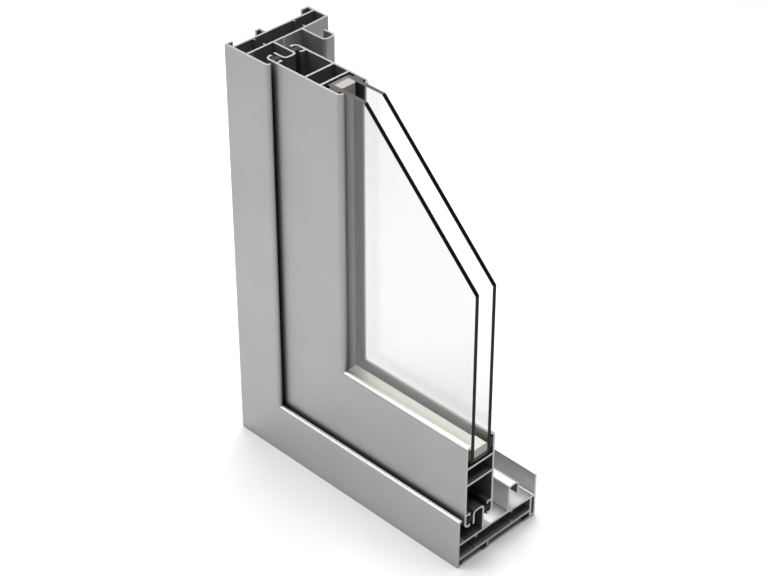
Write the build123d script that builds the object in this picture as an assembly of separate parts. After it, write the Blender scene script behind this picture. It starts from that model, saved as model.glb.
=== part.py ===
from build123d import *
import os

os.makedirs("parts", exist_ok=True)

# Overall lengths of the cut-away corner
jamb_height = 402.5
sill_length = 273.7

# Walls of the aluminium sections
wall = 2.0
tip_radius = 1.2

# Frame section, measured from the outer edge of the frame into the opening
edge_to_runner = 24.9
runner_spacing = 44.2
flange_width = 52.1
flange_lip_radius = 3.6
hook_depth = 7.8
chamber_height = 14.6
floor_fall = 1.8
runner_height = 53.8
runner_lip = 14.4
runner_half_pitch = 5.9
runner_round = 4.5
cleat_rib_front = 22.8
cleat_rib_rear = 68.0
cleat_rib_reach = 2.4
cleat_rib_wall = 1.2
front_hook_lip = 7.2
middle_hook_seat = 37.0
middle_hook_lip = 3.5
rear_hook_lip = 6.5
cleat_leg = 70.0
cleat_wall = 3.0

# Upstand clipped behind the sill
upstand_height = 47.2
upstand_slot = 3.5
upstand_wall = 1.8
upstand_foot = 1.4
upstand_bead = 1.3

# Sash section, hung over the runner
sash_thickness = 34.8
sash_overlap = 14.1
sash_width = 88.5
pocket_round = 5.8
pocket_width = 15.0
pocket_depth = 7.0
pocket_lip = 1.3
sash_leg = 45.8
chamber_width = 15.9
sash_cleat_leg = 62.0

# Sealed glass unit
pane = 4.0
cavity = 16.0
glass_bite = 19.7
sealant_height = 3.9
spacer_height = 8.6
spacer_round = 1.8
corner_cut = 123.7

# Glazing gaskets and packers
gasket_height = 10.5
gasket_inset = 5.0
packer_length = 70.0
packer_position = 150.0
side_packer_position = 250.0
packer_margin = 1.0

# Brush seals
brush_base = 1.2
brush_pile_width = 5.0

# Roller carriage in the bottom rail
carriage_length = 84.0
carriage_position = 94.0
carriage_plate = 1.8
carriage_half_width = 11.0
axle_edge = 6.0
carriage_corner = 4.0
wheel_groove_radius = 11.0
wheel_flange = 3.0
wheel_width = 17.0
wheel_pitch = 44.0
axle_radius = 2.5
axle_end = 1.5

# Clearances
running_gap = 0.3
flank_gap = 0.3
lip_gap = 0.4
fit_gap = 0.15

# Sizes that follow from the ones above
frame_depth = edge_to_runner * 2 + runner_spacing
front_runner = edge_to_runner
rear_runner = edge_to_runner + runner_spacing
runner_half = runner_half_pitch + wall / 2
runner_shoulder = runner_half - runner_round * (2 - 2**0.5)
runner_lip_tip = runner_height - runner_lip
floor_height = hook_depth + wall * 2 + chamber_height
floor_rear = floor_height - floor_fall
fall_start = rear_runner - runner_half_pitch
total_depth = frame_depth + upstand_slot + upstand_wall
sash_start = runner_height - sash_overlap
sash_sight_line = sash_start + sash_width
first_web = sash_start + sash_leg
sash_front = front_runner - sash_thickness / 2
sash_rear = front_runner + sash_thickness / 2
second_web = first_web + wall + chamber_width
rebate_floor = second_web + wall
glass_edge = sash_sight_line - glass_bite
unit_thickness = pane * 2 + cavity
glass_front = front_runner - unit_thickness / 2
glass_rear = front_runner + unit_thickness / 2
lip_radius = glass_front - sash_front - lip_gap
spacer_start = glass_edge + sealant_height
spacer_end = spacer_start + spacer_height
wheel_axis_height = runner_height + running_gap + wheel_groove_radius
wheel_seat_half = runner_shoulder + flank_gap * 2**0.5 - running_gap
wheel_groove_half = wheel_seat_half + wheel_flange
carriage_centre = carriage_position + carriage_length / 2
carriage_top = first_web


def bar(a_start, a_end, y_start, y_end):
    centre = Pos((a_start + a_end) / 2, (y_start + y_end) / 2)
    return centre * Rectangle(a_end - a_start, y_end - y_start)


def ring(a_centre, y_centre, outer, thickness):
    return Pos(a_centre, y_centre) * (Circle(outer) - Circle(outer - thickness))


def dot(a_centre, y_centre, radius):
    return Pos(a_centre, y_centre) * Circle(radius)


# The mitre plane runs at 45 degrees through the corner of the frame
mitre_plane = Plane(origin=(0, 0, 0), z_dir=(-1, 0, 1))


def upright(section, length):
    straight = extrude(section, amount=length)
    return split(straight, bisect_by=mitre_plane, keep=Keep.TOP)


def lying(section, length):
    return mirror(upright(section, length), about=mitre_plane)


def floor_line(y):
    # The floor is level as far as the rear runner and then falls to the rear
    if y <= fall_start:
        return floor_height
    return floor_height - floor_fall * (y - fall_start) / (frame_depth - fall_start)


def runner(y_centre, leg_side):
    # A leg, a flat head with rounded shoulders and a shorter lip on the other side
    bend_centre = runner_height - runner_round
    half_head = runner_half - runner_round
    leg_y = y_centre + leg_side * runner_half_pitch
    lip_y = y_centre - leg_side * runner_half_pitch
    leg_start = floor_line(leg_y) - wall / 2
    shape = bar(leg_start, bend_centre, leg_y - wall / 2, leg_y + wall / 2)
    shape += bar(runner_lip_tip + tip_radius, bend_centre, lip_y - wall / 2, lip_y + wall / 2)
    shape += bar(runner_height - wall, runner_height, y_centre - half_head, y_centre + half_head)
    for side in (-1, 1):
        shoulder_y = y_centre + side * half_head
        outer_y = y_centre + side * runner_half
        shoulder = ring(bend_centre, shoulder_y, runner_round, wall)
        y_start = min(shoulder_y, outer_y)
        shape += shoulder & bar(bend_centre, runner_height, y_start, y_start + runner_round)
    return shape + dot(runner_lip_tip + tip_radius, lip_y, tip_radius)


def cleat_ribs(y):
    half = cleat_rib_wall / 2
    inner_face = floor_line(y) - wall
    outer_rib = bar(hook_depth + wall / 2, hook_depth + wall + cleat_rib_reach, y - half, y + half)
    inner_rib = bar(inner_face - cleat_rib_reach, inner_face + wall / 2, y - half, y + half)
    return outer_rib + inner_rib


def frame_section():
    curl_start = flange_width - flange_lip_radius
    section = bar(0, curl_start, 0, wall)
    curl = ring(curl_start, flange_lip_radius, flange_lip_radius, wall)
    section += curl & bar(curl_start, flange_width, 0, flange_lip_radius)
    section += dot(flange_width - wall / 2, flange_lip_radius, wall / 2)
    section += bar(hook_depth, hook_depth + wall, 0, frame_depth)
    section += bar(0, floor_rear, frame_depth - wall, frame_depth)
    floor_top = [(floor_height, 0), (floor_height, fall_start), (floor_rear, frame_depth)]
    floor_under = [(a - wall, y) for a, y in reversed(floor_top)]
    section += make_face(Polyline(*floor_top, *floor_under, close=True))
    section += runner(front_runner, 1)
    section += runner(rear_runner, -1)
    section += cleat_ribs(cleat_rib_front)
    section += cleat_ribs(cleat_rib_rear)
    section += bar(0, wall, 0, front_hook_lip)
    section += bar(0, hook_depth, middle_hook_seat, middle_hook_seat + wall)
    section += bar(0, wall, middle_hook_seat - middle_hook_lip, middle_hook_seat + wall)
    section += bar(0, wall, frame_depth - wall - rear_hook_lip, frame_depth)
    return section


def pocket(face_y, inward):
    # A brush pocket: curled outer arm, straight inner arm, small lips
    curl_centre = sash_start + pocket_round
    round_y = face_y + inward * pocket_round
    mouth_y = face_y + inward * pocket_depth
    arm_start = sash_start + pocket_width - wall

    def strip(a_start, a_end, first, second):
        return bar(a_start, a_end, min(first, second), max(first, second))

    curl = ring(curl_centre, round_y, pocket_round, wall)
    curl &= strip(sash_start, curl_centre, face_y, round_y)
    shape = curl + strip(sash_start, sash_start + wall, round_y, mouth_y)
    shape += strip(arm_start, arm_start + wall, face_y, mouth_y)
    lip_back = mouth_y - inward * wall * 0.7
    shape += strip(sash_start + wall / 2, sash_start + wall + pocket_lip, lip_back, mouth_y)
    shape += strip(arm_start - pocket_lip, arm_start + wall / 2, lip_back, mouth_y)
    shape += strip(curl_centre, arm_start + wall, face_y, face_y + inward * wall)
    return shape


def glazing_lip(face_y, inward):
    lip_centre = sash_sight_line - lip_radius
    round_y = face_y + inward * lip_radius
    lip = ring(lip_centre, round_y, lip_radius, wall)
    keep_low = min(face_y, round_y)
    return lip & bar(lip_centre, sash_sight_line, keep_low, keep_low + lip_radius)


def sash_section():
    lip_centre = sash_sight_line - lip_radius
    face_start = sash_start + pocket_round
    section = bar(face_start, lip_centre, sash_front, sash_front + wall)
    section += bar(face_start, lip_centre, sash_rear - wall, sash_rear)
    section += bar(first_web, first_web + wall, sash_front, sash_rear)
    section += bar(second_web, rebate_floor, sash_front, sash_rear)
    section += pocket(sash_front, 1)
    section += pocket(sash_rear, -1)
    section += glazing_lip(sash_front, 1)
    section += glazing_lip(sash_rear, -1)
    return section


def corner_cleat(inner_start, inner_end, leg_end, y_start, y_end):
    # An extruded angle with hollow legs, cut to the chamber's depth
    outline = [
        (inner_start, inner_start),
        (leg_end, inner_start),
        (leg_end, inner_end),
        (inner_end, inner_end),
        (inner_end, leg_end),
        (inner_start, leg_end),
    ]
    shape = make_face(Polyline(*outline, close=True))
    middle = (inner_start + inner_end) / 2
    hollow = inner_end - inner_start - cleat_wall * 2
    hole_start = inner_end + cleat_wall / 2
    hole_length = leg_end - hole_start - cleat_wall
    hole_centre = hole_start + hole_length / 2
    shape -= Pos(hole_centre, middle) * Rectangle(hole_length, hollow)
    shape -= Pos(middle, hole_centre) * Rectangle(hollow, hole_length)
    turned = Plane.XZ * shape
    solid = extrude(turned, amount=-(y_end - y_start))
    return Pos(0, y_start, 0) * solid


def frame_corner_cleat():
    rib_clear = cleat_rib_wall / 2 + fit_gap
    y_start = cleat_rib_front + rib_clear
    y_end = cleat_rib_rear - rib_clear
    inner = hook_depth + wall
    narrow = floor_line(y_end) - wall - fit_gap
    return corner_cleat(inner, narrow, cleat_leg, y_start, y_end)


def sash_corner_cleat():
    inner = first_web + wall
    y_start = sash_front + wall + fit_gap
    y_end = sash_rear - wall - fit_gap
    leg_end = first_web + sash_cleat_leg
    return corner_cleat(inner, second_web - fit_gap, leg_end, y_start, y_end)


def sill_upstand():
    # A thin strip behind the sill, held off it by a ledge and a foot
    wall_start = frame_depth + upstand_slot
    radius = upstand_wall / 2
    ledge_top = floor_rear - fit_gap
    bead_y = frame_depth + upstand_bead
    section = bar(0, upstand_height - radius, wall_start, total_depth)
    section += dot(upstand_height - radius, wall_start + radius, radius)
    section += bar(ledge_top - upstand_wall, ledge_top, frame_depth, total_depth)
    section += dot(ledge_top, bead_y, upstand_bead)
    section += bar(upstand_foot, upstand_foot + upstand_wall, frame_depth, total_depth)
    return mirror(extrude(section, amount=sill_length), about=mitre_plane)


def pane_outline(edge):
    points = [
        (edge, edge),
        (sill_length, edge),
        (sill_length, jamb_height - corner_cut),
        (sill_length - corner_cut, jamb_height),
        (edge, jamb_height),
    ]
    return make_face(Polyline(*points, close=True))


def upright_slab(shape, y_start, y_end):
    turned = Plane.XZ * shape
    solid = extrude(turned, amount=-(y_end - y_start))
    return Pos(0, y_start, 0) * solid


def glass_pane(y_start):
    return upright_slab(pane_outline(glass_edge), y_start, y_start + pane)


def spacer_section():
    y_start = glass_front + pane
    y_end = glass_rear - pane
    section = bar(spacer_start, spacer_end, y_start, y_end)
    inner_corners = section.vertices().group_by(Axis.X)[-1]
    return fillet(inner_corners, spacer_round)


def edge_sealant():
    outline = [
        (glass_edge, glass_edge),
        (sill_length, glass_edge),
        (sill_length, spacer_start),
        (spacer_start, spacer_start),
        (spacer_start, jamb_height),
        (glass_edge, jamb_height),
    ]
    shape = make_face(Polyline(*outline, close=True))
    return upright_slab(shape, glass_front + pane, glass_rear - pane)


def gasket_section(front):
    gasket_end = sash_sight_line - gasket_inset
    gasket_start = gasket_end - gasket_height
    if front:
        y_start = sash_front + wall
        y_end = glass_front
    else:
        y_start = glass_rear
        y_end = sash_rear - wall
    return bar(gasket_start, gasket_end, y_start, y_end)


def brush_section(front):
    pocket_start = sash_start + wall
    pocket_end = sash_start + pocket_width - wall
    pocket_middle = (pocket_start + pocket_end) / 2
    half_pile = brush_pile_width / 2
    base_start = sash_start + pocket_round
    side = -1 if front else 1
    wall_y = front_runner + side * (sash_thickness / 2 - wall)
    base_y = wall_y - side * brush_base
    tip_y = front_runner + side * (runner_half + running_gap)
    base = bar(base_start, pocket_end - fit_gap, min(wall_y, base_y), max(wall_y, base_y))
    pile = bar(
        pocket_middle - half_pile,
        pocket_middle + half_pile,
        min(base_y, tip_y),
        max(base_y, tip_y),
    )
    return base + pile


def bottom_packer():
    y_start = glass_front - packer_margin
    y_end = glass_rear + packer_margin
    size_z = glass_edge - rebate_floor
    block = Box(packer_length, y_end - y_start, size_z)
    return Pos(packer_position + packer_length / 2, front_runner, rebate_floor + size_z / 2) * block


def side_packer():
    y_start = glass_front - packer_margin
    y_end = glass_rear + packer_margin
    size_x = glass_edge - rebate_floor
    block = Box(size_x, y_end - y_start, packer_length)
    return Pos(rebate_floor + size_x / 2, front_runner, side_packer_position) * block


def wheel_positions():
    return [carriage_centre - wheel_pitch / 2, carriage_centre + wheel_pitch / 2]


def axle_holes():
    holes = []
    for x in wheel_positions():
        hole = Cylinder(axle_radius + fit_gap, carriage_half_width * 4, rotation=(90, 0, 0))
        holes.append(Pos(x, front_runner, wheel_axis_height) * hole)
    return holes


def roller_carriage():
    # A pressed steel channel that hangs from the rail's web and holds both axles
    outer = carriage_half_width
    inner = carriage_half_width - carriage_plate
    low = wheel_axis_height - axle_edge
    height = carriage_top - low
    body = Pos(carriage_centre, front_runner, low + height / 2)
    shell = body * Box(carriage_length, outer * 2, height)
    room_height = height - carriage_plate
    room = Pos(carriage_centre, front_runner, low + room_height / 2)
    shell -= room * Box(carriage_length, inner * 2, room_height)
    corners = shell.edges().filter_by(Axis.Y).group_by(Axis.Z)[0]
    shell = fillet(corners, carriage_corner)
    for hole in axle_holes():
        shell -= hole
    return shell


def roller_axle(x):
    length = carriage_half_width * 2 + axle_end * 2
    pin = Cylinder(axle_radius, length, rotation=(90, 0, 0))
    return Pos(x, front_runner, wheel_axis_height) * pin


def roller_wheel(x):
    # A turned wheel whose groove runs on the rounded head of the sill's runner
    half = wheel_width / 2
    outer = wheel_groove_radius + wheel_flange
    bore = axle_radius + fit_gap
    profile = [
        (bore, -half),
        (outer, -half),
        (outer, -wheel_groove_half),
        (wheel_groove_radius, -wheel_seat_half),
        (wheel_groove_radius, wheel_seat_half),
        (outer, wheel_groove_half),
        (outer, half),
        (bore, half),
    ]
    half_section = Plane.XZ * make_face(Polyline(*profile, close=True))
    turned = Rot(90, 0, 0) * revolve(half_section, axis=Axis.Z)
    return Pos(x, front_runner, wheel_axis_height) * turned


def save(node, shape):
    centred = Pos(-sill_length / 2, -total_depth / 2, 0) * shape
    export_step(centred, "parts/" + node + ".step")


# Fixed frame
save("frame_jamb", upright(frame_section(), jamb_height))
save("frame_sill", lying(frame_section(), sill_length))
save("frame_corner_cleat", frame_corner_cleat())
save("sill_upstand", sill_upstand())

# Sliding sash
save("sash_stile", upright(sash_section(), jamb_height))
save("sash_rail", lying(sash_section(), sill_length))
save("sash_corner_cleat", sash_corner_cleat())

# Sealed glass unit
save("front_pane", glass_pane(glass_front))
save("rear_pane", glass_pane(glass_rear - pane))
save("spacer_upright", upright(spacer_section(), jamb_height))
save("spacer_bottom", lying(spacer_section(), sill_length))
save("edge_sealant", edge_sealant())

# Gaskets, packers and brushes
save("gasket_front_upright", upright(gasket_section(True), jamb_height))
save("gasket_front_bottom", lying(gasket_section(True), sill_length))
save("gasket_rear_upright", upright(gasket_section(False), jamb_height))
save("gasket_rear_bottom", lying(gasket_section(False), sill_length))
save("packer_bottom", bottom_packer())
save("packer_side", side_packer())
save("brush_front_upright", upright(brush_section(True), jamb_height))
save("brush_front_bottom", lying(brush_section(True), sill_length))
save("brush_rear_upright", upright(brush_section(False), jamb_height))
save("brush_rear_bottom", lying(brush_section(False), sill_length))

# Roller carriage
save("roller_carriage", roller_carriage())
for number, wheel_x in enumerate(wheel_positions(), start=1):
    save("roller_axle_" + str(number), roller_axle(wheel_x))
    save("roller_wheel_" + str(number), roller_wheel(wheel_x))
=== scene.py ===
import math

import bpy
from mathutils import Euler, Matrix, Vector


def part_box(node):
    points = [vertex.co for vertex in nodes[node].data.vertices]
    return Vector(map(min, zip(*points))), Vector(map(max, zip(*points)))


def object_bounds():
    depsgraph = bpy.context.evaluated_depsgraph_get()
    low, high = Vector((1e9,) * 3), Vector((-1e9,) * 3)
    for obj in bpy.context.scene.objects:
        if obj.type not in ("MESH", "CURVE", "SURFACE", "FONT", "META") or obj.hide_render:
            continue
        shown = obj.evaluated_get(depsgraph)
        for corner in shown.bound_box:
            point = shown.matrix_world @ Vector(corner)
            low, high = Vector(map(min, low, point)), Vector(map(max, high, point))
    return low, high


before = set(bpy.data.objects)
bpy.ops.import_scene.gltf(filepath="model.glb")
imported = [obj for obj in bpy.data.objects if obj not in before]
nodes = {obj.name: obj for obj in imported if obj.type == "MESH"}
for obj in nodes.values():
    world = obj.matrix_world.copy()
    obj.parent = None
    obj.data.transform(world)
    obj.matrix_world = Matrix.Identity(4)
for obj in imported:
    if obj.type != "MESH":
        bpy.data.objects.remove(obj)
cad_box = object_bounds()

# Frame jamb and sill
# Two lengths of one extruded aluminium section, sawn to a mitre and joined at the
# corner by a cleat. Satin silver anodising dulls the metal to an even grey, in
# which the faint lines of the extrusion die run lengthwise.
mm_per_metre = 1000.0


def colour(hex_code):
    # sRGB hex to the linear values that the shaders take
    channels = [int(hex_code[i : i + 2], 16) / 255 for i in (1, 3, 5)]
    linear = [c / 12.92 if c <= 0.04045 else ((c + 0.055) / 1.055) ** 2.4 for c in channels]
    return (*linear, 1.0)


def add(tree, kind, settings=None, links=None):
    # One node: settings name its properties or input sockets, links join sockets
    made = tree.nodes.new(kind)
    for name, value in (settings or {}).items():
        if isinstance(name, int) or name in made.inputs:
            made.inputs[name].default_value = value
        else:
            setattr(made, name, value)
    for name, source in (links or {}).items():
        tree.links.new(source, made.inputs[name])
    return made


def new_material(name):
    material = bpy.data.materials.new(name)
    material.use_nodes = True
    material.node_tree.nodes.clear()
    return material, material.node_tree


def dress(material, *names):
    for name in names:
        mesh = nodes[name].data
        mesh.materials.clear()
        mesh.materials.append(material)


def inside_recesses(tree, place, along, outer_edge, recesses):
    # Gives 1 inside any of the recesses and 0 elsewhere, the mask for painted shade and painted light. Both
    # distances are in millimetres
    across = "X" if along == "Z" else "Z"
    front_flange = cad_box[0][1]
    spot = add(tree, "ShaderNodeSeparateXYZ", links={"Vector": place.outputs["Object"]})
    reach = add(
        tree,
        "ShaderNodeMath",
        {"operation": "MULTIPLY_ADD", 1: mm_per_metre, 2: -mm_per_metre * outer_edge},
        {0: spot.outputs[across]},
    )
    depth = add(
        tree,
        "ShaderNodeMath",
        {"operation": "MULTIPLY_ADD", 1: mm_per_metre, 2: -mm_per_metre * front_flange},
        {0: spot.outputs["Y"]},
    )
    inside = None
    for stretches in recesses:
        in_reach, in_depth = [
            add(
                tree,
                "ShaderNodeMath",
                {"operation": "COMPARE", 1: (start + end) / 2, 2: (end - start) / 2},
                {0: distance.outputs[0]},
            )
            for distance, (start, end) in zip((reach, depth), stretches)
        ]
        both = add(
            tree,
            "ShaderNodeMath",
            {"operation": "MULTIPLY"},
            {0: in_reach.outputs[0], 1: in_depth.outputs[0]},
        )
        if inside is None:
            inside = both
        else:
            inside = add(
                tree,
                "ShaderNodeMath",
                {"operation": "MAXIMUM"},
                {0: inside.outputs[0], 1: both.outputs[0]},
            )
    return inside.outputs[0]


def profile_painted_shading(tree, place, along, skin, outer_edge, painted_gap_shade_tone, sawn_metal_and_painted_light_tone, recesses):
    # Painted shade: ambient occlusion darkens the colour in gaps between walls up to 16 mm apart
    narrow_gap = 16
    room = add(
        tree,
        "ShaderNodeAmbientOcclusion",
        {"samples": 8, "Distance": narrow_gap / mm_per_metre},
    )
    open_share = add(
        tree,
        "ShaderNodeMapRange",
        {"From Min": 0.2, "From Max": 0.75},
        {"Value": room.outputs["AO"]},
    )
    toned = add(
        tree,
        "ShaderNodeMix",
        {"data_type": "RGBA", 6: colour(painted_gap_shade_tone)},
        {0: open_share.outputs["Result"], 7: skin},
    )
    # Painted shade darkens the chambers and channels, and painted light brightens the rear runner's front
    for painted_shading_tone, places in recesses:
        toned = add(
            tree,
            "ShaderNodeMix",
            {"data_type": "RGBA", 7: colour(painted_shading_tone)},
            {0: inside_recesses(tree, place, along, outer_edge, places), 6: toned.outputs[2]},
        )
    # Faces that the saw cut are bare metal, and their tone also carries painted light: darker on the
    # upright pieces, paler on the sill and rail
    facing = add(tree, "ShaderNodeSeparateXYZ", links={"Vector": place.outputs["Normal"]})
    turn = add(tree, "ShaderNodeMath", {"operation": "ABSOLUTE"}, {0: facing.outputs[along]})
    sawn = add(tree, "ShaderNodeMath", {"operation": "GREATER_THAN", 1: 0.5}, {0: turn.outputs[0]})
    with_ends = add(
        tree,
        "ShaderNodeMix",
        {"data_type": "RGBA", 7: colour(sawn_metal_and_painted_light_tone)},
        {0: sawn.outputs[0], 6: toned.outputs[2]},
    )
    return with_ends.outputs[2]


def drawn_metal(name, tone, dark_tone, rough, along, profile=None):
    # Real die lines are 0.4 mm apart, too fine to show, so they are drawn 1.5 mm apart
    line_spacing = 1.5
    line_stretch = 40.0
    line_depth = 0.1
    material, tree = new_material(name)
    place = add(tree, "ShaderNodeTexCoord")
    lines_per_metre = mm_per_metre / line_spacing
    scales = [lines_per_metre] * 3
    scales["XYZ".index(along)] = lines_per_metre / line_stretch
    spread = add(tree, "ShaderNodeMapping", {"Scale": scales}, {"Vector": place.outputs["Object"]})
    lines = add(
        tree,
        "ShaderNodeTexNoise",
        {"Scale": 1.0, "Detail": 3.0, "Roughness": 0.6},
        {"Vector": spread.outputs["Vector"]},
    )
    # The finish drifts slowly, over about 60 mm
    drift_width = 60
    drift = add(
        tree,
        "ShaderNodeTexNoise",
        {"Scale": mm_per_metre / drift_width, "Detail": 2.0},
        {"Vector": place.outputs["Object"]},
    )
    share_of_lines = 0.35
    both = add(
        tree,
        "ShaderNodeMix",
        {"data_type": "FLOAT", 0: share_of_lines},
        {2: drift.outputs["Fac"], 3: lines.outputs["Fac"]},
    )
    tint = add(tree, "ShaderNodeValToRGB", links={"Fac": both.outputs[0]})
    for stop, position, shade in zip(tint.color_ramp.elements, (0.3, 0.7), (dark_tone, tone)):
        stop.position = position
        stop.color = colour(shade)
    skin = tint.outputs["Color"]
    # On the frame and sash sections, painted shade and painted light are mixed into the colour
    if profile:
        skin = profile_painted_shading(tree, place, along, skin, **profile)
    rough_change = 0.03
    dull = add(
        tree,
        "ShaderNodeMapRange",
        {"From Min": 0.3, "From Max": 0.7, "To Min": rough - rough_change, "To Max": rough + rough_change},
        {"Value": lines.outputs["Fac"]},
    )
    bump = add(
        tree,
        "ShaderNodeBump",
        {"Strength": 0.05, "Distance": line_depth / mm_per_metre},
        {"Height": lines.outputs["Fac"]},
    )
    # The metal's oxide skin takes a little of its mirror look away
    shader = add(
        tree,
        "ShaderNodeBsdfPrincipled",
        {"Metallic": 0.82},
        {"Base Color": skin, "Roughness": dull.outputs["Result"], "Normal": bump.outputs["Normal"]},
    )
    add(tree, "ShaderNodeOutputMaterial", links={"Surface": shader.outputs["BSDF"]})
    return material


# Closed chambers, channels and the rear runner's front, where painted shade and painted light go, in
# millimetres: the stretch of reach from the frame's outer edge, then the stretch of depth behind its front
# flange
frame_chamber = ((8.8, 24.5), (1.0, 93.0))
sash_chamber = ((86.5, 104.4), (8.5, 41.3))
front_channel = ((25.0, 85.5), (9.0, 40.7))
rear_channels = ((24.5, 56.1), (42.6, 93.9))
rear_runner_front = ((27.0, 51.0), (60.6, 63.4))
satin_grey = "#A9A9A9"
satin_dark_grey = "#A1A1A1"
satin_roughness = 0.4
# The upright pieces' chambers and channels get painted shade, so they read as dark slots, and their sawn
# ends a dull grey painted shade
upright_profile = {
    "outer_edge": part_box("frame_jamb")[0][0],
    "painted_gap_shade_tone": "#3E3E3E",
    "sawn_metal_and_painted_light_tone": "#8A8A8A",
    "recesses": (
        ("#747474", (frame_chamber, sash_chamber, front_channel)),
        ("#8C8C8C", (rear_channels,)),
    ),
}
upright_aluminium = drawn_metal(
    "satin_anodised_aluminium_upright", satin_grey, satin_dark_grey, satin_roughness, "Z", upright_profile
)
dress(upright_aluminium, "frame_jamb")
# The sill lies open to the light, so its painted shade in the gaps and the painted tone of its sawn ends
# are paler than the jamb's. The front of its rear runner, which the lamps hardly reach, gets painted light
# and is palest
sill_profile = {
    "outer_edge": 0.0,
    "painted_gap_shade_tone": "#8E8E8E",
    "sawn_metal_and_painted_light_tone": "#AEAEAE",
    "recesses": (
        ("#A0A0A0", (frame_chamber,)),
        ("#747474", (front_channel,)),
        ("#E6E6E6", (rear_runner_front,)),
    ),
}
sill_aluminium = drawn_metal(
    "satin_anodised_aluminium_sill", satin_grey, satin_dark_grey, satin_roughness, "X", sill_profile
)
dress(sill_aluminium, "frame_sill")

# Corner cleats
# Hollow extruded angles pushed into the chambers and crimped there, which pull
# both mitres tight. Mill finish, as extruded: brighter, with slight streaks.
cleat_aluminium = drawn_metal("mill_finish_aluminium", "#CFD0D2", "#BFC0C2", rough=0.30, along="Y")
dress(cleat_aluminium, "frame_corner_cleat", "sash_corner_cleat")

# Sill upstand
# A thin extruded strip with a beaded edge, clipped behind the sill. The same anodised finish is painted
# paler, as painted light on its open face.
upstand_painted_light_aluminium = drawn_metal(
    "satin_anodised_aluminium_strip", "#CBCBCB", "#C2C2C2", satin_roughness, along="X"
)
dress(upstand_painted_light_aluminium, "sill_upstand")

# Sash stile and rail
# One deeper extruded section that straddles the runner, mitred and cleated like
# the frame, with rounded lips that wrap the sealed unit. Same satin anodising.
dress(upright_aluminium, "sash_stile")
# The rail's chambers, channel and gaps get painted shade as well, and its sawn ends the sill's paler
# painted tone
rail_profile = {
    "outer_edge": 0.0,
    "painted_gap_shade_tone": "#4A4A4A",
    "sawn_metal_and_painted_light_tone": "#AEAEAE",
    "recesses": (("#868686", (sash_chamber, front_channel)),),
}
rail_aluminium = drawn_metal(
    "satin_anodised_aluminium_rail", satin_grey, satin_dark_grey, satin_roughness, "X", rail_profile
)
dress(rail_aluminium, "sash_rail")

# Glass panes
# Clear float glass, 4 mm thick, in a sealed unit. Its faces show a thin grey tint and soft reflections,
# while the ground slanted and upright edges are painted near-black as painted shade.


def float_glass():
    glass_ior = 1.5
    material, tree = new_material("clear_float_glass")
    place = add(tree, "ShaderNodeTexCoord")
    normal = add(tree, "ShaderNodeSeparateXYZ", links={"Vector": place.outputs["Normal"]})
    turn = add(tree, "ShaderNodeMath", {"operation": "ABSOLUTE"}, {0: normal.outputs["Y"]})
    is_face = add(tree, "ShaderNodeMath", {"operation": "GREATER_THAN", 1: 0.5}, {0: turn.outputs[0]})
    # The ground edge carries grit marks about 0.3 mm long
    grit_length = 0.3
    grit = add(
        tree,
        "ShaderNodeTexNoise",
        {"Scale": mm_per_metre / grit_length, "Detail": 2.0},
        {"Vector": place.outputs["Object"]},
    )
    # Painted shade: the ground edges are coloured near-black
    ground = add(tree, "ShaderNodeValToRGB", links={"Fac": grit.outputs["Fac"]})
    for stop, tone in zip(ground.color_ramp.elements, ("#050505", "#090909")):
        stop.color = colour(tone)
    # The level top edge, which faces up, is painted a lighter grey as painted light
    is_level = add(tree, "ShaderNodeMath", {"operation": "GREATER_THAN", 1: 0.95}, {0: normal.outputs["Z"]})
    edge_painted_shading = add(
        tree,
        "ShaderNodeMix",
        {"data_type": "RGBA", 7: colour("#3C3C3C")},
        {0: is_level.outputs[0], 6: ground.outputs["Color"]},
    )
    edge = add(
        tree,
        "ShaderNodeBsdfPrincipled",
        {"Roughness": 0.35, "IOR": glass_ior, "Specular IOR Level": 0.08},
        {"Base Color": edge_painted_shading.outputs[2]},
    )
    # The body bends and reflects light, and its shadow is only a faint tint
    clear = add(
        tree,
        "ShaderNodeBsdfPrincipled",
        {
            "Base Color": colour("#EEEEEE"),
            "Roughness": 0.0,
            "IOR": glass_ior,
            "Transmission Weight": 1.0,
        },
    )
    shade = add(tree, "ShaderNodeBsdfTransparent", {"Color": colour("#F4F5F4")})
    rays = add(tree, "ShaderNodeLightPath")
    is_shade = add(
        tree,
        "ShaderNodeMath",
        {"operation": "MAXIMUM"},
        {0: rays.outputs["Is Shadow Ray"], 1: rays.outputs["Is Diffuse Ray"]},
    )
    face = add(
        tree,
        "ShaderNodeMixShader",
        links={0: is_shade.outputs[0], 1: clear.outputs["BSDF"], 2: shade.outputs["BSDF"]},
    )
    whole = add(
        tree,
        "ShaderNodeMixShader",
        links={0: is_face.outputs[0], 1: edge.outputs["BSDF"], 2: face.outputs["Shader"]},
    )
    add(tree, "ShaderNodeOutputMaterial", links={"Surface": whole.outputs["Shader"]})
    return material


dress(float_glass(), "front_pane", "rear_pane")

# Spacers and edge sealant
# Cream silicone foam bars with rounded corners hold the panes 16 mm apart, and a
# dark grey polysulphide sealant is gunned in behind them to close the unit's edge.
# Both are dull and even.


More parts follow.
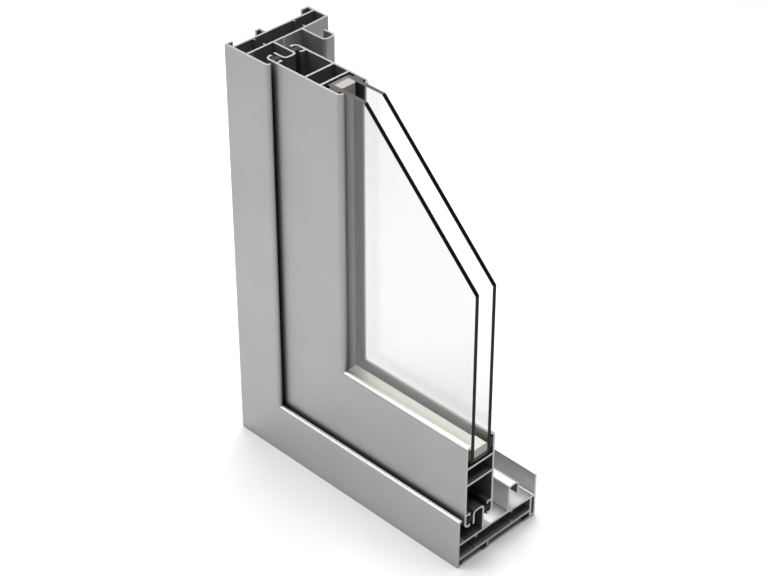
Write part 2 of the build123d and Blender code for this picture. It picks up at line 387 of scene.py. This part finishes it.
def speckled(name, tone, dark_tone, rough, grain, bump_depth, ior):
    # A dull moulded or filled material with a fine mottle: grain and depth are in mm
    material, tree = new_material(name)
    place = add(tree, "ShaderNodeTexCoord")
    mottle = add(
        tree,
        "ShaderNodeTexNoise",
        {"Scale": mm_per_metre / grain, "Detail": 4.0, "Roughness": 0.6},
        {"Vector": place.outputs["Object"]},
    )
    tint = add(tree, "ShaderNodeValToRGB", links={"Fac": mottle.outputs["Fac"]})
    for stop, position, shade in zip(tint.color_ramp.elements, (0.3, 0.7), (dark_tone, tone)):
        stop.position = position
        stop.color = colour(shade)
    bump = add(
        tree,
        "ShaderNodeBump",
        {"Strength": 0.4, "Distance": bump_depth / mm_per_metre},
        {"Height": mottle.outputs["Fac"]},
    )
    shader = add(
        tree,
        "ShaderNodeBsdfPrincipled",
        {"Roughness": rough, "IOR": ior},
        {"Base Color": tint.outputs["Color"], "Normal": bump.outputs["Normal"]},
    )
    add(tree, "ShaderNodeOutputMaterial", links={"Surface": shader.outputs["BSDF"]})
    return material


# Both bars are the same foam: the upright one is painted greyer and darker, as painted shade between the
# panes, and the lying one keeps more of its cream
foam = {"rough": 0.6, "grain": 0.8, "bump_depth": 0.05, "ior": 1.41}
upright_foam_painted_shade = speckled("silicone_foam_spacer_upright_painted_shade", "#7A7672", "#716D69", **foam)
lying_foam = speckled("silicone_foam_spacer_lying", "#AEACA4", "#A4A29A", **foam)
sealant = speckled(
    "polysulphide_sealant", "#403E3C", "#363432", rough=0.7, grain=2.0, bump_depth=0.1, ior=1.55
)
dress(upright_foam_painted_shade, "spacer_upright")
dress(lying_foam, "spacer_bottom")
dress(sealant, "edge_sealant")

# Glazing gaskets
# Extruded black EPDM strips pressed between the lips and the glass: a dull,
# slightly grey-black rubber.
gasket_rubber = speckled(
    "epdm_rubber", "#141414", "#0C0C0C", rough=0.65, grain=0.6, bump_depth=0.04, ior=1.52
)
for side in ("front", "rear"):
    dress(gasket_rubber, "gasket_" + side + "_upright", "gasket_" + side + "_bottom")

# Glazing packers
# Moulded polypropylene blocks that carry the unit on the rail and centre it
# beside the stile. The plastic is dark, smooth and slightly waxy.
packer_plastic = speckled(
    "moulded_polypropylene", "#2B2B2C", "#222223", rough=0.45, grain=0.8, bump_depth=0.03, ior=1.49
)
dress(packer_plastic, "packer_bottom", "packer_side")

# Brush seals
# Woven polypropylene pile on a stiff backing strip, slid into the sash pockets.
# The pile is black and soft, and just clears the runner it seals against.
brush_pile = speckled(
    "black_pile", "#181818", "#0A0A0A", rough=0.9, grain=0.4, bump_depth=0.2, ior=1.49
)
for side in ("front", "rear"):
    dress(brush_pile, "brush_" + side + "_upright", "brush_" + side + "_bottom")

# Roller carriage
# A pressed channel of zinc-plated steel under the rail's web, with two turned
# nylon wheels on steel axles, which run on the rounded head of the sill's runner.
# The plating gleams a little, and the nylon is a dull dark grey.
plated_steel = drawn_metal("zinc_plated_steel", "#A9ABAD", "#9A9C9F", rough=0.32, along="X")
dress(plated_steel, "roller_carriage", "roller_axle_1", "roller_axle_2")
wheel_nylon = speckled(
    "turned_nylon", "#3A3A3B", "#303031", rough=0.4, grain=0.5, bump_depth=0.02, ior=1.53
)
dress(wheel_nylon, "roller_wheel_1", "roller_wheel_2")

# Floor
# A plain sweep painted matt white, on which the sample stands. The paint shows
# clean and even, apart from the sample's soft contact shadow.
floor_reach = 6.0
corner_signs = ((-1, -1), (1, -1), (1, 1), (-1, 1))
floor_corners = [(x * floor_reach, y * floor_reach, 0) for x, y in corner_signs]
floor_mesh = bpy.data.meshes.new("pale_floor")
floor_mesh.from_pydata(floor_corners, [], [(0, 1, 2, 3)])
floor = bpy.data.objects.new("pale_floor", floor_mesh)
bpy.context.scene.collection.objects.link(floor)
floor_paint = speckled(
    "matt_white_paint", "#C4C4C4", "#C3C3C3", rough=0.9, grain=40, bump_depth=0.01, ior=1.5
)
floor_mesh.materials.append(floor_paint)

# Light
# Three square soft boxes and an even, weak sky. The overhead and rear left ones
# light the floor and whatever faces up. The front left one lights the front faces
# and draws the bright line along the rounded flange and lips.
world = bpy.data.worlds.new("pale_sky")
bpy.context.scene.world = world
world.use_nodes = True
sky = world.node_tree.nodes["Background"]
sky.inputs["Color"].default_value = colour("#FFFFFF")
sky.inputs["Strength"].default_value = 0.22


def soft_light(name, position, aim, size, power):
    lamp = bpy.data.lights.new(name, "AREA")
    lamp.shape = "SQUARE"
    lamp.size = size
    lamp.energy = power
    holder = bpy.data.objects.new(name, lamp)
    holder.location = position
    direction = Vector(aim) - Vector(position)
    holder.rotation_euler = direction.to_track_quat("-Z", "Y").to_euler()
    bpy.context.scene.collection.objects.link(holder)


soft_light("overhead_light", position=(0.05, 0.05, 1.6), aim=(0.05, 0.05, 0), size=1.3, power=43)
soft_light("rear_left_light", position=(-0.8, 0.75, 1.9), aim=(0, 0, 0.15), size=1.2, power=25)
soft_light("front_left_light", position=(-1.35, -1.35, 1.6), aim=(0, 0, 0.15), size=1.6, power=36)

# Camera
# The photograph's view, at equal angles to the three axes, through a 100 mm lens.
# Its place was worked out from the photograph's straight edges, and the plain view
# transform keeps the whites clean.
lens = bpy.data.cameras.new("photo_camera")
lens.lens = 100.0
lens.sensor_width = 36.0
camera = bpy.data.objects.new("photo_camera", lens)
camera.location = (1.047864, -1.049325, 1.249437)
down_tilt = math.radians(54.7356)
turn_right = math.radians(45.0)
camera.rotation_euler = Euler((down_tilt, 0.0, turn_right))
bpy.context.scene.collection.objects.link(camera)
bpy.context.scene.camera = camera
bpy.context.scene.view_settings.view_transform = "Standard"
